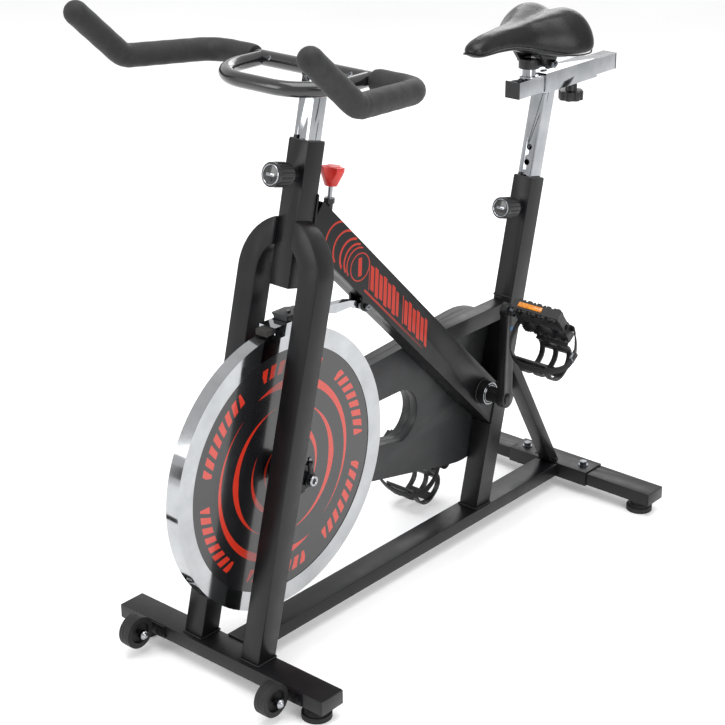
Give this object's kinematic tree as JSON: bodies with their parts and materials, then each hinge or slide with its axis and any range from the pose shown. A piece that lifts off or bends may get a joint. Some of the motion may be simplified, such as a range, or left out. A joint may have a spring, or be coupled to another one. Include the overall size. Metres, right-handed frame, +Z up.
{
  "type": "exercise bike",
  "caption": "Indoor cycling bike: black square-tube frame, heavy chrome-rimmed flywheel, chain guard, toe-cage pedals, padded saddle, foam-grip handlebar and a red brake knob.",
  "frame": {"origin": "centre of the bounding box on the floor, under the feet", "axes": "-Y is the front of the bike (flywheel and handlebar), +X is the side of the left crank and away from the chain guard, +Z is up"},
  "size_m": [0.5152, 1.176, 1.087],
  "materials": {
    "frame_paint": "satin",
    "chrome": "polished",
    "zinc_steel": "satin",
    "flywheel_face": "gloss",
    "black_plastic": "satin",
    "gloss_black_bar": "gloss",
    "foam": "matte",
    "saddle_vinyl": "satin",
    "red_plastic": "satin",
    "black_rubber": "matte"
  },
  "bodies": {
    "frame": {"front_stabiliser": "frame_paint", "base_rail": "frame_paint", "left_fork_leg": "frame_paint", "right_fork_leg": "frame_paint", "head_tube": "frame_paint", "main_tube": "frame_paint", "brace_tube": "frame_paint", "seat_tube": "frame_paint", "rear_stay": "frame_paint", "rear_sleeve": "frame_paint", "rear_bars": "frame_paint", "bar_end_caps": "black_plastic", "frame_bolts": "zinc_steel", "dropout_plates": "frame_paint", "flywheel_axle": "zinc_steel", "chain_tensioners": "zinc_steel", "bottom_bracket_shell": "frame_paint", "bottom_bracket_bearings": "chrome", "guard_inner_shell": "black_plastic", "guard_outer_shell": "black_plastic", "chain": "zinc_steel", "brake_guide": "black_plastic", "brake_bracket": "frame_paint", "wheel_brackets": "frame_paint", "tube_bushings": "black_plastic"},
    "flywheel": {"flywheel_rim": "chrome", "flywheel_disc": "flywheel_face", "flywheel_hub": "frame_paint", "flywheel_cog": "zinc_steel"},
    "crankset": {"crank_axle": "zinc_steel", "left_crank": "frame_paint", "right_crank": "frame_paint", "chainring": "zinc_steel", "pedal_spindles": "zinc_steel"},
    "left_pedal": {"left_pedal": "black_plastic", "left_toe_cage": "black_plastic"},
    "right_pedal": {"right_pedal": "black_plastic", "right_toe_cage": "black_plastic"},
    "seat_post": {"seat_post": "chrome"},
    "seat_slider": {"seat_slider": "chrome", "slider_caps": "black_plastic"},
    "slider_knob": {"slider_knob": "black_plastic"},
    "saddle_clamp": {"saddle_clamp": "black_plastic"},
    "saddle": {"saddle_base": "black_plastic", "saddle_cushion": "saddle_vinyl"},
    "handlebar": {"handlebar_post": "chrome", "handlebar_tube": "gloss_black_bar", "foam_grips": "foam"},
    "head_pop_pin": {"head_pop_pin": "black_plastic"},
    "seat_pop_pin": {"seat_pop_pin": "black_plastic"},
    "brake_rod": {"brake_rod": "chrome"},
    "brake_knob": {"brake_knob": "red_plastic"},
    "brake_arm": {"brake_arm": "chrome", "brake_pad": "black_rubber"},
    "left_wheel": {"left_wheel": "black_rubber"},
    "right_wheel": {"right_wheel": "black_rubber"},
    "front_left_foot": {"front_left_foot": "black_rubber"},
    "front_right_foot": {"front_right_foot": "black_rubber"},
    "rear_left_foot": {"rear_left_foot": "black_rubber"},
    "rear_right_foot": {"rear_right_foot": "black_rubber"}
  },
  "joints": [
    {"name": "flywheel_turn", "type": "hinge", "parent": "frame", "child": "flywheel", "pos_m": [0.007, -0.347, 0.3305], "axis": [1, 0, 0], "continuous": true},
    {"name": "crank_turn", "type": "hinge", "parent": "frame", "child": "crankset", "pos_m": [0, 0.187, 0.2915], "axis": [1, 0, 0], "continuous": true},
    {"name": "left_pedal_turn", "type": "hinge", "parent": "crankset", "child": "left_pedal", "pos_m": [0.147, 0.187, 0.464], "axis": [1, 0, 0], "continuous": true},
    {"name": "right_pedal_turn", "type": "hinge", "parent": "crankset", "child": "right_pedal", "pos_m": [-0.147, 0.187, 0.119], "axis": [1, 0, 0], "continuous": true},
    {"name": "seat_height", "type": "slide", "parent": "frame", "child": "seat_post", "axis": [0, 0.225, 0.9744], "range_m": [-0.084, 0.056]},
    {"name": "saddle_fore_aft", "type": "slide", "parent": "seat_post", "child": "seat_slider", "axis": [0, 1, 0], "range_m": [-0.055, 0.008]},
    {"name": "slider_knob_turn", "type": "hinge", "parent": "seat_post", "child": "slider_knob", "pos_m": [0, 0.463, 0.79], "axis": [0, 0, 1], "range_deg": [-90, 90]},
    {"name": "saddle_swivel", "type": "hinge", "parent": "seat_slider", "child": "saddle_clamp", "pos_m": [0, 0.327, 0.877], "axis": [0, 0, 1], "range_deg": [-15, 15]},
    {"name": "saddle_tilt", "type": "hinge", "parent": "saddle_clamp", "child": "saddle", "pos_m": [0, 0.351, 0.877], "axis": [1, 0, 0], "range_deg": [-10, 10]},
    {"name": "handlebar_height", "type": "slide", "parent": "frame", "child": "handlebar", "axis": [0, 0.225, 0.9744], "range_m": [-0.056, 0.056]},
    {"name": "head_pin_pull", "type": "slide", "parent": "frame", "child": "head_pop_pin", "axis": [0, -0.9744, 0.225], "range_m": [0, 0.01], "stiffness_N_per_m": 900, "springref_m": -0.004},
    {"name": "seat_pin_pull", "type": "slide", "parent": "frame", "child": "seat_pop_pin", "axis": [0, -0.9744, 0.225], "range_m": [0, 0.01], "stiffness_N_per_m": 900, "springref_m": -0.004},
    {"name": "brake_press", "type": "slide", "parent": "frame", "child": "brake_rod", "axis": [0, -0.1564, -0.9877], "range_m": [0, 0.0013], "stiffness_N_per_m": 6000, "springref_m": -0.002},
    {"name": "brake_knob_turn", "type": "hinge", "parent": "brake_rod", "child": "brake_knob", "pos_m": [0, -0.2125, 0.738], "axis": [0, 0.1564, 0.9877], "range_deg": [-180, 180]},
    {"name": "brake_arm_swing", "type": "hinge", "parent": "frame", "child": "brake_arm", "pos_m": [0.007, -0.146, 0.557], "axis": [1, 0, 0], "range_deg": [-0.05, 1]},
    {"name": "left_wheel_turn", "type": "hinge", "parent": "frame", "child": "left_wheel", "pos_m": [0.156, -0.532, 0.0425], "axis": [1, 0, 0], "continuous": true},
    {"name": "right_wheel_turn", "type": "hinge", "parent": "frame", "child": "right_wheel", "pos_m": [-0.156, -0.532, 0.0425], "axis": [1, 0, 0], "continuous": true},
    {"name": "front_left_foot_level", "type": "slide", "parent": "frame", "child": "front_left_foot", "axis": [0, 0, -1], "range_m": [0, 0.008]},
    {"name": "front_right_foot_level", "type": "slide", "parent": "frame", "child": "front_right_foot", "axis": [0, 0, -1], "range_m": [0, 0.008]},
    {"name": "rear_left_foot_level", "type": "slide", "parent": "frame", "child": "rear_left_foot", "axis": [0, 0, -1], "range_m": [0, 0.008]},
    {"name": "rear_right_foot_level", "type": "slide", "parent": "frame", "child": "rear_right_foot", "axis": [0, 0, -1], "range_m": [0, 0.008]}
  ],
  "couplings": [
    {"joint": "crank_turn", "follows": "flywheel_turn", "ratio": 0.30769},
    {"joint": "brake_arm_swing", "follows": "brake_press", "rad_per_m": 10.99}
  ]
}
